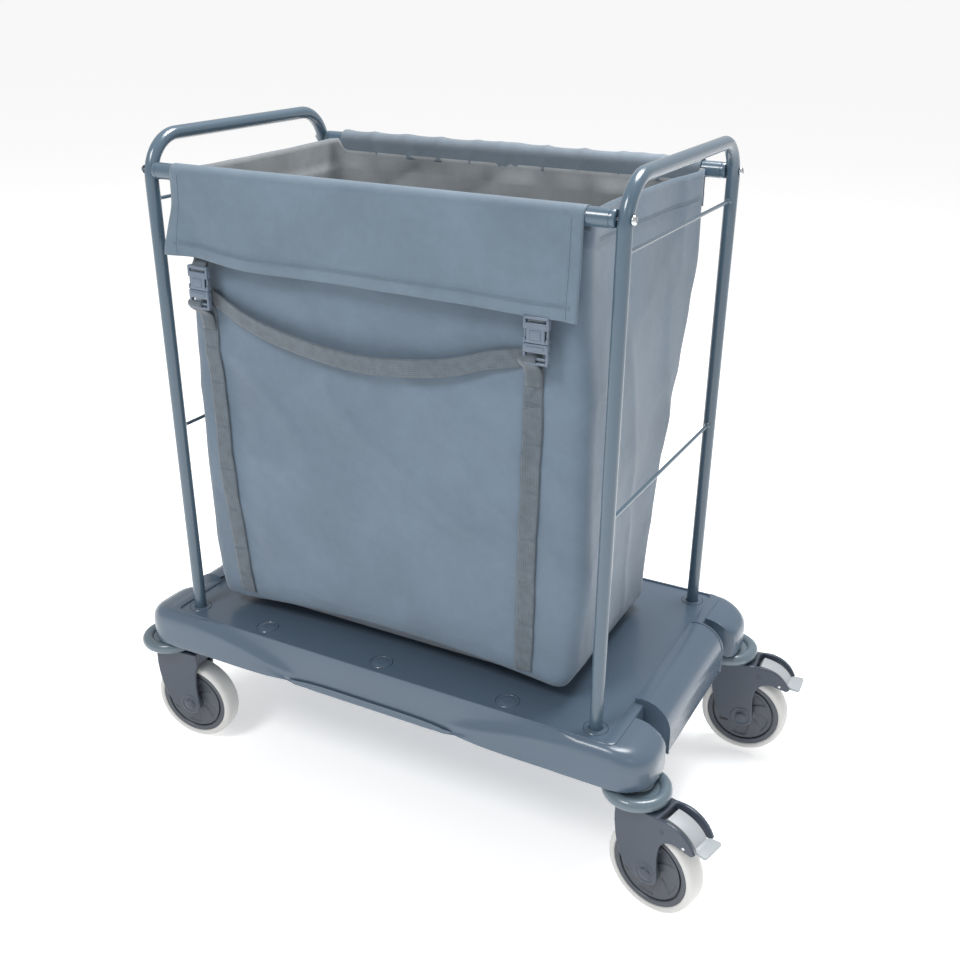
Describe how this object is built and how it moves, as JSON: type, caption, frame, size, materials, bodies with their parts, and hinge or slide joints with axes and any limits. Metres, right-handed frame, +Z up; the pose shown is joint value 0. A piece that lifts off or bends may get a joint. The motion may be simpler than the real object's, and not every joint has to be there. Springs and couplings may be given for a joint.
{
  "type": "linen trolley",
  "caption": "Wheeled hospital trolley: moulded base on swivel castors, tubular push hoops at both ends and an open-top fabric bag hung on two rails.",
  "frame": {"origin": "on the floor, at the plan centre of the parked trolley with its braked castors trailing outwards", "axes": "+X along the trolley towards the braked castors, -Y towards the buckled front of the bag, +Z up"},
  "size_m": [1.0686, 0.5437, 1.056],
  "materials": {
    "tray_plastic": "semi-gloss moulded plastic, slate grey",
    "painted_tube": "glossy powder coat, slate blue",
    "screw_steel": "bright domed steel",
    "stem_steel": "zinc-plated steel",
    "buffer_plastic": "smooth grey non-marking buffer",
    "fork_plastic": "satin blue-grey moulded housing",
    "core_plastic": "satin dark-grey wheel centre",
    "tyre_rubber": "off-white non-marking tread",
    "pedal_plastic": "light grey, finely textured",
    "bag_fabric": "coated woven polyester, slate blue",
    "webbing": "woven polyester webbing, grey",
    "buckle_plastic": "moulded acetal, blue-grey"
  },
  "bodies": {
    "trolley": {"base_tray": "tray_plastic", "post_collar_back_right": "tray_plastic", "post_collar_front_right": "tray_plastic", "post_collar_back_left": "tray_plastic", "post_collar_front_left": "tray_plastic", "socket_plug_front_left": "tray_plastic", "socket_plug_front_middle": "tray_plastic", "socket_plug_front_right": "tray_plastic", "socket_plug_back_left": "tray_plastic", "socket_plug_back_middle": "tray_plastic", "socket_plug_back_right": "tray_plastic", "end_hoop_right": "painted_tube", "hoop_wire_upper_right": "painted_tube", "hoop_wire_lower_right": "painted_tube", "end_hoop_left": "painted_tube", "hoop_wire_upper_left": "painted_tube", "hoop_wire_lower_left": "painted_tube", "bag_rail_front": "painted_tube", "bag_rail_back": "painted_tube", "rail_screw_front_right": "screw_steel", "rail_screw_back_right": "screw_steel", "rail_screw_front_left": "screw_steel", "rail_screw_back_left": "screw_steel", "castor_stem_front_right": "stem_steel", "castor_stem_back_right": "stem_steel", "castor_stem_front_left": "stem_steel", "castor_stem_back_left": "stem_steel", "bag_body": "bag_fabric", "bag_front_flap": "bag_fabric", "bag_back_hem": "bag_fabric", "carry_handle": "webbing", "front_strap_right": "webbing", "buckle_socket_right": "buckle_plastic", "buckle_plug_right": "buckle_plastic", "front_strap_left": "webbing", "buckle_socket_left": "buckle_plastic", "buckle_plug_left": "buckle_plastic"},
    "castor_front_right": {"castor_fork_front_right": "fork_plastic", "wheel_axle_front_right": "fork_plastic"},
    "wheel_front_right": {"wheel_core_front_right": "core_plastic", "tyre_front_right": "tyre_rubber"},
    "buffer_front_right": {"bumper_ring_front_right": "buffer_plastic"},
    "pedal_front_right": {"brake_pedal_front_right": "pedal_plastic"},
    "castor_back_right": {"castor_fork_back_right": "fork_plastic", "wheel_axle_back_right": "fork_plastic"},
    "wheel_back_right": {"wheel_core_back_right": "core_plastic", "tyre_back_right": "tyre_rubber"},
    "buffer_back_right": {"bumper_ring_back_right": "buffer_plastic"},
    "pedal_back_right": {"brake_pedal_back_right": "pedal_plastic"},
    "castor_front_left": {"castor_fork_front_left": "fork_plastic", "wheel_axle_front_left": "fork_plastic"},
    "wheel_front_left": {"wheel_core_front_left": "core_plastic", "tyre_front_left": "tyre_rubber"},
    "buffer_front_left": {"bumper_ring_front_left": "buffer_plastic"},
    "castor_back_left": {"castor_fork_back_left": "fork_plastic", "wheel_axle_back_left": "fork_plastic"},
    "wheel_back_left": {"wheel_core_back_left": "core_plastic", "tyre_back_left": "tyre_rubber"},
    "buffer_back_left": {"bumper_ring_back_left": "buffer_plastic"}
  },
  "joints": [
    {"name": "swivel_front_right", "type": "hinge", "parent": "trolley", "child": "castor_front_right", "pos_m": [0.401, -0.219, 0.17], "axis": [0, 0, 1], "continuous": true},
    {"name": "roll_front_right", "type": "hinge", "parent": "castor_front_right", "child": "wheel_front_right", "pos_m": [0.44186, -0.22873, 0.075], "axis": [0.2317, 0.9728, 0], "continuous": true},
    {"name": "buffer_spin_front_right", "type": "hinge", "parent": "trolley", "child": "buffer_front_right", "pos_m": [0.401, -0.219, 0.192], "axis": [0, 0, 1], "continuous": true},
    {"name": "brake_front_right", "type": "hinge", "parent": "castor_front_right", "child": "pedal_front_right", "pos_m": [0.4652, -0.2343, 0.165], "axis": [0.2317, 0.9728, 0], "range_deg": [0, 14]},
    {"name": "swivel_back_right", "type": "hinge", "parent": "trolley", "child": "castor_back_right", "pos_m": [0.401, 0.219, 0.17], "axis": [0, 0, 1], "continuous": true},
    {"name": "roll_back_right", "type": "hinge", "parent": "castor_back_right", "child": "wheel_back_right", "pos_m": [0.44293, 0.22142, 0.075], "axis": [-0.0576, 0.9983, 0], "continuous": true},
    {"name": "buffer_spin_back_right", "type": "hinge", "parent": "trolley", "child": "buffer_back_right", "pos_m": [0.401, 0.219, 0.192], "axis": [0, 0, 1], "continuous": true},
    {"name": "brake_back_right", "type": "hinge", "parent": "castor_back_right", "child": "pedal_back_right", "pos_m": [0.46689, 0.2228, 0.165], "axis": [-0.0576, 0.9983, 0], "range_deg": [0, 14]},
    {"name": "swivel_front_left", "type": "hinge", "parent": "trolley", "child": "castor_front_left", "pos_m": [-0.481, -0.219, 0.17], "axis": [0, 0, 1], "continuous": true},
    {"name": "roll_front_left", "type": "hinge", "parent": "castor_front_left", "child": "wheel_front_left", "pos_m": [-0.43929, -0.2141, 0.075], "axis": [-0.1167, 0.9932, 0], "continuous": true},
    {"name": "buffer_spin_front_left", "type": "hinge", "parent": "trolley", "child": "buffer_front_left", "pos_m": [-0.481, -0.219, 0.192], "axis": [0, 0, 1], "continuous": true},
    {"name": "swivel_back_left", "type": "hinge", "parent": "trolley", "child": "castor_back_left", "pos_m": [-0.481, 0.219, 0.17], "axis": [0, 0, 1], "continuous": true},
    {"name": "roll_back_left", "type": "hinge", "parent": "castor_back_left", "child": "wheel_back_left", "pos_m": [-0.4391, 0.21607, 0.075], "axis": [0.0698, 0.9976, 0], "continuous": true},
    {"name": "buffer_spin_back_left", "type": "hinge", "parent": "trolley", "child": "buffer_back_left", "pos_m": [-0.481, 0.219, 0.192], "axis": [0, 0, 1], "continuous": true}
  ]
}
